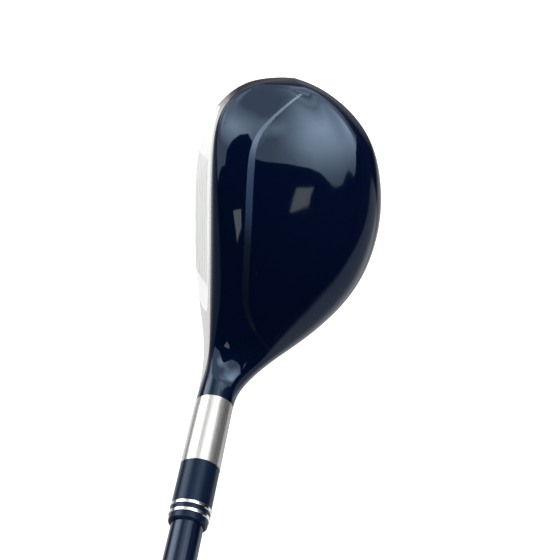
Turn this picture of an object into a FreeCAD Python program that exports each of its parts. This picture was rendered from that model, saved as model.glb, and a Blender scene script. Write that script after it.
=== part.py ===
import FreeCAD
import Part
import math
import os
import Sketcher
from FreeCAD import Placement, Rotation, Vector

# Hybrid golf club, right-handed, in millimetres.
# The origin is where the shaft axis meets the ground with the sole set down as at address.
# +X runs from the face to the back, +Y from heel to toe, +Z up.
# The shaft line leans towards -Y by the lie angle. Pieces on it are turned about their own Z
# axis, with heights measured along the shaft line from the origin, and then tipped over.

DRIVING_SIZES = {
    # shaft line
    "lie_angle": 60.0,
    "fan_pivot_height": 52.0,
    # hosel, which ends where the ferrule starts
    "hosel_radius": 6.5,
    "hosel_top": 68.0,
    "bore_bottom": 32.0,
    "bore_radius": 4.8,
    "bore_cone_radius": 5.2,
    "bore_cone_depth": 1.5,
    # walls of the hollow head
    "face_wall": 2.1,
    "crown_wall": 0.9,
    "skirt_wall": 1.1,
    "sole_wall": 1.4,
    "toe_wall": 1.7,
    "heel_wall": 3.0,
    # face plate and its grooves
    "plate_depth": 4.6,
    "groove_width": 0.8,
    "groove_depth": 0.25,
    "groove_pitch": 3.0,
    "groove_lowest": 8.5,
    "groove_length": 44.0,
    "groove_toe_end": 60.0,
    # sole badge, flush with the sole
    "badge_length": 34.0,
    "badge_width": 12.0,
    "badge_floor": 0.9,
    "badge_x": 10.0,
    "badge_y": 22.0,
    # rear weight port, in the back edge of the sole
    "port_x": 41.4,
    "port_y": 43.0,
    "port_z": 3.75,
    "port_slope": 68.0,
    "port_radius": 7.6,
    "boss_radius": 9.4,
    "boss_height": 10.0,
    "weight_radius": 7.5,
    "weight_height": 4.4,
    "head_recess_radius": 4.2,
    "head_recess_depth": 2.5,
    "shank_hole_radius": 2.8,
    "washer_radius": 3.8,
    "washer_height": 0.8,
    "washer_hole_radius": 2.58,
    "screw_head_radius": 4.1,
    "screw_head_height": 2.4,
    "screw_radius": 2.5,
    "screw_length": 12.0,
    "screw_chamfer": 0.5,
    "socket_flats": 3.5,
    "socket_depth": 1.5,
    "insert_radius": 4.2,
    "insert_height": 8.6,
    "insert_hole_radius": 2.56,
    # pieces inside the head
    "slab_length": 46.0,
    "slab_width": 15.0,
    "slab_height": 2.0,
    "slab_x": -6.0,
    "slab_y": 16.0,
    "melt_x": 24.0,
    "melt_y": 64.0,
    "melt_radius": 13.0,
    "melt_height": 3.4,
    # shaft
    "tip_end": 35.0,
    "tip_radius": 4.7,
    "tip_bore_radius": 2.5,
    "neck_radius": 5.1,
    "mouth_radius": 6.9,
    "butt_end": 1005.0,
    "butt_radius": 7.6,
    "butt_bore_radius": 6.4,
    "tip_plug_start": 37.0,
    "tip_plug_end": 52.0,
    "tip_plug_radius": 2.45,
    # ferrule, a stack of pieces between the hosel and the bare shaft
    "ferrule_base_radius": 6.45,
    "ferrule_bore_radius": 5.12,
    "ring_lower_start": 82.0,
    "ring_lower_end": 83.25,
    "ring_upper_start": 84.5,
    "ring_upper_end": 85.75,
    "ferrule_end": 88.0,
    "ring_lower_radius": 6.4,
    "ring_upper_radius": 6.3,
    "collar_radius": 6.22,
    "collar_end_radius": 5.7,
    "collar_chamfer": 0.5,
    "ring_bead": 0.2,
    # grip
    "grip_mouth": 745.0,
    "tape_gauge": 0.15,
    "grip_mouth_radius": 8.7,
    "grip_bead": 1.2,
    "grip_mid": 860.0,
    "grip_mid_radius": 10.2,
    "grip_top": 985.0,
    "grip_top_radius": 12.6,
    "cap_radius": 14.0,
    "cap_rim": 1.2,
    "cap_end": 1010.0,
    "vent_radius": 1.6,
}

# Head sections, from the toe tip to the neck. Each is a slice of the outer shape:
# y        where the slice crosses the vertical line through the fan pivot's height
# fan      tilt of the slice in degrees, 0 upright, rising to square with the shaft line
# top      x and z of the topline, where the face meets the crown
# lead     x and z of the leading edge, where the face meets the sole
# apex     x and z of the crown's highest point
# back     x and z of the rearmost point
# sole_z   height of the sole
# full     exponent of the crown's fall from apex to back
# roll     how high the roll-over stands between the back and the apex
# corner   size of the rounding at the topline and the leading edge
# round    share of the hosel's circle that is mixed in
SECTION_KEYS = (
    "y", "fan", "top_x", "top_z", "lead_x", "lead_z", "apex_x", "apex_z",
    "back_x", "back_z", "sole_z", "full", "roll", "corner", "round",
)
HEAD_SECTIONS = (
    (86.2, 0, 15.0, 16.0, 14.5, 13.5, 16.5, 16.5, 19.5, 15.0, 13.0, 2.2, 0.55, 0.12, 0.0),
    (85.5, 0, 11.5, 22.2, 10.0, 9.5, 15.5, 23.3, 20.8, 14.5, 8.5, 2.4, 0.60, 0.5, 0.0),
    (84.4, 0, 4.6, 26.0, 2.0, 6.5, 14.5, 24.8, 27.2, 15.2, 4.8, 1.8, 0.60, 0.8, 0.0),
    (77.0, 0, -2.8, 30.1, -7.8, 4.6, 12.5, 29.8, 38.9, 14.8, 2.4, 1.6, 0.56, 0.9, 0.0),
    (66.0, 0, -3.9, 32.8, -14.7, 3.5, 10.0, 35.2, 47.5, 13.5, 0.9, 1.6, 0.46, 0.9, 0.0),
    (50.0, 0, -3.7, 33.2, -16.7, 3.0, 10.0, 37.0, 51.2, 12.3, 0.25, 1.6, 0.40, 0.9, 0.0),
    (36.0, 0, -3.7, 32.0, -16.5, 3.0, 10.0, 36.4, 51.1, 12.0, 0.25, 2.0, 0.47, 0.9, 0.0),
    (22.0, 0, -3.8, 30.5, -16.1, 3.4, 9.0, 34.8, 47.7, 12.5, 1.0, 2.2, 0.52, 0.9, 0.0),
    (10.0, 0, -4.0, 28.9, -15.0, 4.2, 7.5, 32.6, 40.7, 13.6, 2.0, 2.24, 0.55, 0.9, 0.0),
    (0.0, 4, -4.3, 27.8, -12.4, 5.5, 5.8, 31.0, 30.0, 15.5, 3.8, 2.2, 0.55, 0.9, 0.06),
    (0.0, 18, -4.8, 27.6, -9.4, 8.2, 3.8, 30.5, 22.8, 18.8, 7.8, 2.2, 0.55, 0.9, 0.25),
    (0.0, 33, -5.0, 28.6, -8.3, 11.7, 2.2, 31.2, 17.0, 22.0, 12.2, 2.2, 0.55, 0.9, 0.58),
    (0.0, 47, -5.0, 29.0, -6.2, 15.0, 1.0, 32.0, 9.8, 24.0, 16.0, 2.2, 0.55, 0.9, 0.88),
)
# The hollow inside follows these sections of the outer shape, from toe to heel.
CAVITY_SECTIONS = range(1, 10)

POINTS_ROUND = 18  # control points round each section
FACE_LEAN = 23.3  # degrees between the face and the vertical
HOSEL_START_ANGLE = 207.5  # direction of the first control point on the hosel's circle
NECK_STEPS = (0.0, 4.0, 12.0)  # stations of the first hosel circles above the fan

# Plan outline of the welded crown plate, as x and y, and the heights it is cut between.
CROWN_OUTLINE = (
    (1.5, 4.0), (0.6, 20.0), (0.6, 48.0), (1.2, 64.0), (6.0, 72.0), (15.0, 75.5), (24.0, 73.0),
    (32.0, 65.5), (38.5, 55.0), (41.0, 44.0), (40.0, 32.0), (35.5, 20.0), (26.0, 9.0), (13.0, 2.0),
)
CROWN_CUT_LOW = 20.0
CROWN_CUT_HIGH = 45.0

# Outline of the face plate, as y and height up the slope of the face, toe first.
FACE_OUTLINE = (
    (76.0, 18.0), (73.0, 28.5), (62.0, 32.0), (36.0, 31.6), (10.0, 27.6), (5.5, 23.0),
    (5.5, 12.0), (11.0, 7.6), (36.0, 5.8), (60.0, 6.4), (71.0, 9.2),
)
GROOVES = 7  # straight grooves across the face plate

NODES = (
    "body_casting", "face_plate", "crown_plate", "sole_badge", "sole_weight_slab", "hot_melt",
    "threaded_insert", "back_weight", "screw_retaining_washer", "weight_screw",
    "hosel_plug", "epoxy_sleeve", "shaft", "tip_plug",
    "ferrule_body", "trim_ring_lower", "trim_spacer", "trim_ring_upper", "ferrule_collar",
    "grip_tape", "grip_sleeve", "grip_cap",
)

doc = FreeCAD.newDocument("HybridClub")


# ---------------------------------------------------------------- driving dimensions

def fill_sheet(name, values):
    sheet = doc.addObject("Spreadsheet::Sheet", name)
    for row, (alias, value) in enumerate(values.items(), start=1):
        sheet.set("A%d" % row, alias)
        sheet.set("B%d" % row, str(value))
        sheet.setAlias("B%d" % row, alias)
    return sheet


def section_alias(key, index):
    return "section_%s_no%d" % (key, index)


sizes = fill_sheet("Sizes", DRIVING_SIZES)
section_cells = {}
for number, section in enumerate(HEAD_SECTIONS):
    for key, value in zip(SECTION_KEYS, section):
        section_cells[section_alias(key, number)] = value
sections = fill_sheet("Sections", section_cells)
doc.recompute()


def size(alias):
    return float(sizes.get(alias))


def read_section(index):
    return {key: float(sections.get(section_alias(key, index))) for key in SECTION_KEYS}


LIE = math.radians(size("lie_angle"))
PIVOT = size("fan_pivot_height")
PIVOT_TO_AXIS = PIVOT * math.cos(LIE)
SHAFT_LINE = Placement(Vector(0, 0, 0), Rotation(Vector(1, 0, 0), 90 - size("lie_angle")))
PORT_LINE = Placement(
    Vector(size("port_x"), size("port_y"), size("port_z")),
    Rotation(Vector(0, 1, 0), 90 + size("port_slope")),
)


# ---------------------------------------------------------------- outer shape of the head

def between(first, last, share):
    return first + (last - first) * share


def section_points(sec):
    """Control points of one slice, as x and z, from the leading edge up the face and round."""
    top_x, top_z = sec["top_x"], sec["top_z"]
    lead_x, lead_z = sec["lead_x"], sec["lead_z"]
    apex_x, apex_z = sec["apex_x"], sec["apex_z"]
    back_x, back_z = sec["back_x"], sec["back_z"]
    sole_z, corner = sec["sole_z"], sec["corner"]
    full, roll = sec["full"], sec["roll"]
    points = [
        (lead_x + 6.0 * corner, sole_z + 0.54 * corner),
        (lead_x + 1.2 * corner, lead_z - 1.2 * corner),
    ]
    for share in (0.10, 0.38, 0.66, 0.93):
        points.append((between(lead_x, top_x, share), between(lead_z, top_z, share)))
    points.append((top_x + 0.6 * corner, top_z + 0.9 * corner))
    front_x = top_x + 3.2 * corner
    rise = (apex_x - front_x) / (apex_x - top_x)
    points.append((front_x, apex_z - (apex_z - top_z) * rise ** 2 * 0.72))
    points.append((between(top_x, apex_x, 0.75), apex_z - (apex_z - top_z) * 0.04))
    for share in (0.38, 0.72):
        fall = (1 - share ** full) ** (1 / full)
        points.append((between(apex_x, back_x, share), between(back_z, apex_z, fall)))
    points.append((between(apex_x, back_x, 0.955), between(back_z, apex_z, roll)))
    points.append((back_x, back_z))
    points.append((back_x - 2.0 * corner, between(back_z, sole_z, 0.62)))
    for share, lift in ((0.14, 0.10), (0.36, 0.0), (0.60, -0.02), (0.82, 0.0)):
        sole_x = between(back_x, lead_x + 6.0 * corner, share)
        points.append((sole_x, between(sole_z, back_z, lift)))
    return points


def circle_points(radius, centre_z):
    """Control points whose closed cubic curve is a circle of this radius."""
    reach = radius * 3 / (2 + math.cos(2 * math.pi / POINTS_ROUND))
    points = []
    for step in range(POINTS_ROUND):
        angle = math.radians(HOSEL_START_ANGLE) - 2 * math.pi * step / POINTS_ROUND
        points.append((reach * math.cos(angle), centre_z + reach * math.sin(angle)))
    return points


def place_slice(points, y, fan_degrees, along=0.0):
    """Stands a slice up at y, tilted about the fan pivot, and moved on along the shaft line."""
    fan = math.radians(fan_degrees)
    placed = []
    for x, z in points:
        drop = z - PIVOT
        placed.append(Vector(
            x,
            y + math.sin(fan) * drop - math.cos(fan) * along,
            PIVOT + math.cos(fan) * drop + math.sin(fan) * along,
        ))
    return placed


def head_slice(sec):
    points = section_points(sec)
    circle = circle_points(size("hosel_radius"), PIVOT - PIVOT_TO_AXIS)
    mix = sec["round"]
    points = [
        (between(p[0], c[0], mix), between(p[1], c[1], mix)) for p, c in zip(points, circle)
    ]
    return place_slice(points, sec["y"], sec["fan"])


def hosel_slices():
    lie = size("lie_angle")
    circle = circle_points(size("hosel_radius"), PIVOT - PIVOT_TO_AXIS)
    fan_station = PIVOT * math.sin(LIE)
    stations = NECK_STEPS + (size("hosel_top") - fan_station,)
    return [place_slice(circle, 0.0, lie, along) for along in stations]


def lofted_solid(slices):
    """A closed solid through control slices: cubic both ways, closed round each slice."""
    rows = len(slices)
    surface = Part.BSplineSurface()
    surface.buildFromPolesMultsKnots(
        slices,
        [4] + [1] * (rows - 4) + [4],
        [1] * (POINTS_ROUND + 1),
        [float(knot) for knot in range(rows - 2)],
        [float(knot) for knot in range(POINTS_ROUND + 1)],
        False,
        True,
        3,
        3,
    )
    side = surface.toShape()
    ends = []
    for edge in side.Edges:
        if edge.isClosed():
            ends.append(Part.Face(Part.Wire([edge])))
    shell = Part.Shell([side] + ends)
    shell.sewShape()
    solid = Part.Solid(shell)
    if solid.Volume < 0:
        solid.reverse()
    return solid


def cavity_slice(sec, order):
    """The same slice drawn in by the wall thicknesses."""
    face_wall = size("face_wall") / math.cos(math.radians(FACE_LEAN))
    near_neck = sec["fan"] > 0
    skirt_wall = size("heel_wall" if near_neck else "skirt_wall")
    sole_wall = size("heel_wall" if near_neck else "sole_wall")
    inner = dict(sec)
    inner["y"] = sec["y"] - size("toe_wall") * max(0.0, 1 - 0.35 * order)
    inner["top_x"] = sec["top_x"] + face_wall
    inner["lead_x"] = sec["lead_x"] + face_wall
    inner["top_z"] = sec["top_z"] - size("crown_wall") - 0.5
    inner["lead_z"] = sec["lead_z"] + sole_wall + 0.4
    inner["apex_x"] = sec["apex_x"] + 1.0
    inner["apex_z"] = sec["apex_z"] - size("crown_wall")
    inner["back_x"] = sec["back_x"] - skirt_wall
    inner["sole_z"] = sec["sole_z"] + sole_wall
    return head_slice(inner)


def shape_feature(name, shape):
    feature = doc.addObject("Part::Feature", name)
    feature.Shape = shape
    return feature


head_slices = [head_slice(read_section(index)) for index in range(len(HEAD_SECTIONS))]
head_outer = shape_feature("head_outer", lofted_solid(head_slices + hosel_slices()))
cavity_slices = [
    cavity_slice(read_section(index), order) for order, index in enumerate(CAVITY_SECTIONS)
]
head_cavity = shape_feature("head_cavity", lofted_solid(cavity_slices))


# ---------------------------------------------------------------- small builders

def bind(obj, **expressions):
    for key, expression in expressions.items():
        obj.setExpression(key, expression)
    return obj


def primitive(kind, name, placement, **expressions):
    obj = doc.addObject("Part::" + kind, name)
    bind(obj, **expressions)
    obj.Placement = placement
    return obj


def fuse(name, pieces):
    obj = doc.addObject("Part::MultiFuse", name)
    obj.Shapes = pieces
    return obj


def cut(name, base, tool):
    obj = doc.addObject("Part::Cut", name)
    obj.Base = base
    obj.Tool = tool
    return obj


def common(name, pieces):
    obj = doc.addObject("Part::MultiCommon", name)
    obj.Shapes = pieces
    return obj


def origin_plane(body, role):
    for feature in body.Origin.OriginFeatures:
        if feature.Role == role:
            return feature
    raise ValueError("no plane " + role)


def closed_sketch(body, role, points):
    """A closed outline on one of the body's own planes, each corner bound to the sheet."""
    sketch = body.newObject("Sketcher::SketchObject", body.Name + "_profile")
    sketch.AttachmentSupport = [(origin_plane(body, role), "")]
    sketch.MapMode = "FlatFace"
    values = [[float(sizes.evalExpression(text)) for text in point] for point in points]
    corners = [Vector(value[0], value[1], 0) for value in values]
    count = len(corners)
    for index in range(count):
        sketch.addGeometry(Part.LineSegment(corners[index], corners[(index + 1) % count]), False)
    for index in range(count):
        sketch.addConstraint(Sketcher.Constraint("Coincident", index, 2, (index + 1) % count, 1))
    for index, point in enumerate(points):
        for direction, value, text in zip(("DistanceX", "DistanceY"), values[index], point):
            number = sketch.addConstraint(
                Sketcher.Constraint(direction, -1, 1, index, 1, value)
            )
            sketch.setExpression("Constraints[%d]" % number, on_sheet(text))
    return sketch


def on_sheet(text):
    """Puts the sheet's name in front of each alias in an expression."""
    words = text.replace("(", "( ").replace(")", " )").split(" ")
    return " ".join("Sizes." + word if word in DRIVING_SIZES else word for word in words)


def turned(label, placement, profile):
    """A PartDesign body turned about its own Z axis; the profile is radius and height."""
    body = doc.addObject("PartDesign::Body", label)
    sketch = closed_sketch(body, "XZ_Plane", profile)
    revolution = body.newObject("PartDesign::Revolution", label + "_turning")
    revolution.Profile = sketch
    revolution.ReferenceAxis = (sketch, ["V_Axis"])
    revolution.Angle = 360
    body.Placement = placement
    return body


def tube_profile(inner_low, inner_high, outer_low, outer_high, low, high):
    return [(inner_low, low), (outer_low, low), (outer_high, high), (inner_high, high)]


# ---------------------------------------------------------------- head pieces

def face_plane():
    """Local X up the slope of the face, Y towards the toe, Z out of the head."""
    middle = read_section(5)
    foot = Vector(middle["lead_x"], 0, middle["lead_z"])
    crest = Vector(middle["top_x"], 0, middle["top_z"])
    slope = (crest - foot).normalize()
    base = foot - slope * middle["lead_z"]
    return Placement(base, Rotation(slope, Vector(0, 1, 0), Vector(0, 0, 0), "XYZ"))


def face_cutter():
    plane = face_plane()
    depth = size("plate_depth")
    curve = Part.BSplineCurve()
    curve.interpolate(
        [plane.multVec(Vector(up, y, -depth)) for y, up in FACE_OUTLINE], PeriodicFlag=True
    )
    outline = Part.Face(Part.Wire([curve.toShape()]))
    outward = plane.Rotation.multVec(Vector(0, 0, 2 * depth))
    return shape_feature("face_cutter", outline.extrude(outward))


def groove_cutter():
    """Blades along the face, stopped at the outer shape moved in by the groove's depth."""
    plane = face_plane()
    width = size("groove_width")
    length = size("groove_length")
    reach = size("plate_depth")
    blades = []
    for count in range(GROOVES):
        up = size("groove_lowest") + size("groove_pitch") * count
        blade = Part.makeBox(width, length, 2 * reach)
        blade.Placement = plane * Placement(
            Vector(up, size("groove_toe_end") - length, -reach), Rotation()
        )
        blades.append(blade)
    floor = head_outer.Shape.copy()
    floor.translate(plane.Rotation.multVec(Vector(0, 0, -size("groove_depth"))))
    return shape_feature("groove_cutter", Part.makeCompound(blades).cut(floor))


def crown_cutter():
    curve = Part.BSplineCurve()
    curve.interpolate([Vector(x, y, CROWN_CUT_LOW) for x, y in CROWN_OUTLINE], PeriodicFlag=True)
    outline = Part.Face(Part.Wire([curve.toShape()]))
    return shape_feature(
        "crown_cutter", outline.extrude(Vector(0, 0, CROWN_CUT_HIGH - CROWN_CUT_LOW))
    )


doc.recompute()


def raised(height):
    return Placement(Vector(0, 0, height), Rotation())


# the shell: outer shape, with the weight port's boss, less the hollow, the bore and the port
bore = fuse("shaft_bore", [
    primitive(
        "Cylinder", "bore_cylinder", SHAFT_LINE * raised(size("bore_bottom")),
        Radius="Sizes.bore_radius", Height="Sizes.hosel_top - Sizes.bore_bottom + 5",
    ),
    primitive(
        "Cone", "bore_mouth", SHAFT_LINE * raised(size("hosel_top") - size("bore_cone_depth")),
        Radius1="Sizes.bore_radius", Radius2="Sizes.bore_cone_radius",
        Height="Sizes.bore_cone_depth",
    ),
])


def port_cylinder(name, radius, bottom, height):
    low = float(sizes.evalExpression(on_sheet(bottom)))
    return primitive(
        "Cylinder", name, PORT_LINE * raised(low),
        Radius="Sizes." + radius, Height=on_sheet(height),
    )


BOSS_FOOT = "0 - weight_height - boss_height"
boss = common("port_boss", [
    head_outer,
    port_cylinder("boss_blank", "boss_radius", BOSS_FOOT, "boss_height + 20"),
])
port = fuse("weight_port", [
    port_cylinder("port_recess", "port_radius", "0 - weight_height", "weight_height + 20"),
    port_cylinder("insert_hole", "insert_radius", BOSS_FOOT + " - 1", "boss_height + 20"),
])
casting_blank = fuse("casting_blank", [cut("head_shell", head_outer, head_cavity), boss])
openings = fuse("casting_openings", [bore, port])
casting_shell = cut("casting_shell", casting_blank, openings)

# face plate and crown plate are cut from the same shell, so they lie flush in the casting
face_tool = face_cutter()
crown_tool = crown_cutter()
face_blank = common("face_blank", [casting_shell, face_tool])
face_plate = cut("face_plate", face_blank, groove_cutter())
crown_plate = common("crown_plate", [casting_shell, crown_tool])


def badge_cutter():
    """A rounded bar through the skin of the sole."""
    length = size("badge_length")
    width = size("badge_width")
    corner = Vector(size("badge_x"), size("badge_y"), -5)
    bar = Part.makeBox(width, length, size("badge_floor") + 5, corner)
    upright = [edge for edge in bar.Edges if abs(edge.tangentAt(edge.FirstParameter).z) > 0.9]
    return shape_feature("badge_cutter", bar.makeFillet(width / 2 - 0.5, upright))


badge_tool = badge_cutter()
sole_badge = common("sole_badge", [casting_shell, badge_tool])
casting_cutters = fuse("casting_cutters", [face_tool, crown_tool, badge_tool])
body_casting = cut("body_casting", casting_shell, casting_cutters)

# inside the hollow: a tungsten slab on the sole, and glue that catches loose bits
slab_blank = primitive(
    "Box", "slab_blank", Placement(Vector(size("slab_x"), size("slab_y"), 0), Rotation()),
    Length="Sizes.slab_width", Width="Sizes.slab_length",
    Height="Sizes.sole_wall + Sizes.slab_height",
)
sole_weight_slab = common("sole_weight_slab", [head_cavity, slab_blank])
melt_blank = primitive(
    "Cylinder", "melt_blank", Placement(Vector(size("melt_x"), size("melt_y"), 0), Rotation()),
    Radius="Sizes.melt_radius", Height="Sizes.sole_wall + Sizes.melt_height",
)
hot_melt = common("hot_melt", [head_cavity, melt_blank])

# ---------------------------------------------------------------- rear weight, on the port axis

threaded_insert = turned("threaded_insert", PORT_LINE, [
    ("0", "0 - weight_height - insert_height"),
    ("insert_radius", "0 - weight_height - insert_height"),
    ("insert_radius", "0 - weight_height"),
    ("insert_hole_radius", "0 - weight_height"),
    ("insert_hole_radius", "0 - screw_length - screw_chamfer"),
    ("0", "0 - screw_length - screw_chamfer"),
])
back_weight = turned("back_weight", PORT_LINE, [
    ("washer_radius", "0 - weight_height"),
    ("weight_radius", "0 - weight_height"),
    ("weight_radius", "0 - screw_chamfer"),
    ("weight_radius - screw_chamfer", "0"),
    ("head_recess_radius", "0"),
    ("head_recess_radius", "0 - head_recess_depth"),
    ("shank_hole_radius", "0 - head_recess_depth"),
    ("shank_hole_radius", "0 - weight_height + washer_height"),
    ("washer_radius", "0 - weight_height + washer_height"),
])
screw_retaining_washer = turned("screw_retaining_washer", PORT_LINE, tube_profile(
    "washer_hole_radius", "washer_hole_radius", "washer_radius", "washer_radius",
    "0 - weight_height", "0 - weight_height + washer_height",
))
weight_screw = turned("weight_screw", PORT_LINE, [
    ("0", "0 - screw_length"),
    ("screw_radius - screw_chamfer", "0 - screw_length"),
    ("screw_radius", "0 - screw_length + screw_chamfer"),
    ("screw_radius", "0 - screw_head_height"),
    ("screw_head_radius", "0 - screw_head_height"),
    ("screw_head_radius", "0 - screw_chamfer"),
    ("screw_head_radius - screw_chamfer", "0"),
    ("0", "0"),
])


def hexagon_socket(body):
    """A hexagon pocket down into the screw's head."""
    sketch = body.newObject("Sketcher::SketchObject", "socket_outline")
    sketch.AttachmentSupport = [(origin_plane(body, "XY_Plane"), "")]
    sketch.MapMode = "FlatFace"
    reach = size("socket_flats") / math.sqrt(3)
    corners = [
        Vector(reach * math.cos(math.pi / 3 * turn), reach * math.sin(math.pi / 3 * turn), 0)
        for turn in range(6)
    ]
    for turn in range(6):
        sketch.addGeometry(Part.LineSegment(corners[turn], corners[(turn + 1) % 6]), False)
    circle = sketch.addGeometry(Part.Circle(Vector(0, 0, 0), Vector(0, 0, 1), reach), True)
    sketch.addConstraint(Sketcher.Constraint("Coincident", circle, 3, -1, 1))
    for turn in range(6):
        sketch.addConstraint(Sketcher.Constraint("Coincident", turn, 2, (turn + 1) % 6, 1))
        sketch.addConstraint(Sketcher.Constraint("PointOnObject", turn, 1, circle))
        if turn:
            sketch.addConstraint(Sketcher.Constraint("Equal", 0, turn))
    sketch.addConstraint(Sketcher.Constraint("PointOnObject", 0, 1, -1))
    number = sketch.addConstraint(Sketcher.Constraint("Radius", circle, reach))
    sketch.setExpression("Constraints[%d]" % number, "Sizes.socket_flats / sqrt(3)")
    pocket = body.newObject("PartDesign::Pocket", "socket")
    pocket.Profile = sketch
    pocket.setExpression("Length", "Sizes.socket_depth")
    return pocket


doc.recompute()
screw_volume = weight_screw.Shape.Volume
hexagon_socket(weight_screw)
doc.recompute()
if weight_screw.Shape.Volume >= screw_volume:
    raise ValueError("the socket took nothing out of the screw")

# ---------------------------------------------------------------- shaft and what is glued to it

hosel_plug = turned("hosel_plug", SHAFT_LINE, [
    ("0", "bore_bottom"),
    ("bore_radius", "bore_bottom"),
    ("bore_radius", "tip_end"),
    ("0", "tip_end"),
])
shaft = turned("shaft", SHAFT_LINE, [
    ("tip_bore_radius", "tip_end"),
    ("tip_radius", "tip_end"),
    ("tip_radius", "hosel_top - bore_cone_depth"),
    ("neck_radius", "hosel_top"),
    ("neck_radius", "ferrule_end"),
    ("mouth_radius", "grip_mouth"),
    ("butt_radius", "butt_end"),
    ("butt_bore_radius", "butt_end"),
    ("tip_bore_radius", "tip_plug_end"),
])
tip_plug = turned("tip_plug", SHAFT_LINE, [
    ("0", "tip_plug_start"),
    ("tip_plug_radius", "tip_plug_start"),
    ("tip_plug_radius", "tip_plug_end"),
    ("0", "tip_plug_end"),
])
epoxy_sleeve = turned("epoxy_sleeve", SHAFT_LINE, tube_profile(
    "tip_radius", "tip_radius", "bore_radius", "bore_radius",
    "tip_end", "hosel_top - bore_cone_depth",
))

# ---------------------------------------------------------------- ferrule

ferrule_body = turned("ferrule_body", SHAFT_LINE, tube_profile(
    "ferrule_bore_radius", "ferrule_bore_radius", "ferrule_base_radius", "ring_lower_radius",
    "hosel_top", "ring_lower_start",
))
trim_spacer = turned("trim_spacer", SHAFT_LINE, tube_profile(
    "ferrule_bore_radius", "ferrule_bore_radius", "ring_lower_radius", "ring_upper_radius",
    "ring_lower_end", "ring_upper_start",
))
ferrule_collar = turned("ferrule_collar", SHAFT_LINE, [
    ("ferrule_bore_radius", "ring_upper_end"),
    ("collar_radius", "ring_upper_end"),
    ("collar_radius", "ferrule_end - collar_chamfer"),
    ("collar_end_radius", "ferrule_end"),
    ("ferrule_bore_radius", "ferrule_end"),
])


def trim_ring(label, radius, start, end):
    """A metal ring with softened edges."""
    return turned(label, SHAFT_LINE, [
        ("ferrule_bore_radius", start),
        (radius, start),
        (radius + " + ring_bead", start + " + ring_bead"),
        (radius + " + ring_bead", end + " - ring_bead"),
        (radius, end),
        ("ferrule_bore_radius", end),
    ])


trim_ring_lower = trim_ring(
    "trim_ring_lower", "ring_lower_radius", "ring_lower_start", "ring_lower_end"
)
trim_ring_upper = trim_ring(
    "trim_ring_upper", "ring_upper_radius", "ring_upper_start", "ring_upper_end"
)

# ---------------------------------------------------------------- grip

grip_tape = turned("grip_tape", SHAFT_LINE, tube_profile(
    "mouth_radius", "butt_radius", "mouth_radius + tape_gauge", "butt_radius + tape_gauge",
    "grip_mouth", "butt_end",
))
grip_sleeve = turned("grip_sleeve", SHAFT_LINE, [
    ("mouth_radius + tape_gauge", "grip_mouth"),
    ("grip_mouth_radius - grip_bead", "grip_mouth"),
    ("grip_mouth_radius", "grip_mouth + grip_bead"),
    ("grip_mouth_radius", "grip_mouth + 3 * grip_bead"),
    ("grip_mid_radius", "grip_mid"),
    ("grip_top_radius", "grip_top"),
    ("cap_radius - cap_rim", "butt_end"),
    ("butt_radius + tape_gauge", "butt_end"),
])
grip_cap = turned("grip_cap", SHAFT_LINE, [
    ("vent_radius", "butt_end"),
    ("cap_radius - cap_rim", "butt_end"),
    ("cap_radius", "butt_end + cap_rim"),
    ("cap_radius", "cap_end - cap_rim"),
    ("cap_radius - cap_rim", "cap_end"),
    ("vent_radius", "cap_end"),
])

# ---------------------------------------------------------------- checks and export

doc.recompute()
for obj in doc.Objects:
    bad = [word for word in obj.State if word in ("Invalid", "Error")]
    if bad:
        raise ValueError("%s is %s" % (obj.Label, bad))

os.makedirs("parts", exist_ok=True)
for label in NODES:
    shape = doc.getObject(label).Shape
    if shape.isNull() or not shape.isValid():
        raise ValueError(label + " has no valid shape")
    shape.exportStep("parts/%s.step" % label)
    print("%-24s solids %d  volume %9.1f" % (label, len(shape.Solids), shape.Volume))
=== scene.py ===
import math

import bpy
import numpy as np
from mathutils import Matrix, Vector

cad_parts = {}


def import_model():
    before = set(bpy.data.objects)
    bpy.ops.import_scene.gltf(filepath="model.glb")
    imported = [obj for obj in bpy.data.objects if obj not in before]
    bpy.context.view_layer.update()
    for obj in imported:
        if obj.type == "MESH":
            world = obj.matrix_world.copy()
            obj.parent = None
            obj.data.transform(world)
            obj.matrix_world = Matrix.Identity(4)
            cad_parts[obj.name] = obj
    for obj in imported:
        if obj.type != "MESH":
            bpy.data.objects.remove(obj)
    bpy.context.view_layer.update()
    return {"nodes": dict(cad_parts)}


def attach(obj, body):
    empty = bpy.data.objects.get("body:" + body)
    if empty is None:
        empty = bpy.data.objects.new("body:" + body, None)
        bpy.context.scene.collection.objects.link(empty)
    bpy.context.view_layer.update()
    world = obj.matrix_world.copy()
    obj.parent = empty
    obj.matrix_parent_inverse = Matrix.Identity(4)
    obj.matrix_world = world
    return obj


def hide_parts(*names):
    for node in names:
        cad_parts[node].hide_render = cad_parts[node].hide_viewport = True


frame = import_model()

# Everything below is worked out in millimetres in the row frame, and turned into metres as each
# mesh is made. +X runs from the face to the back, +Y from heel to toe, +Z up.
MM = 0.001
LIE = math.radians(60)
AXIS = np.array([0.0, -math.cos(LIE), math.sin(LIE)])

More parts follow.
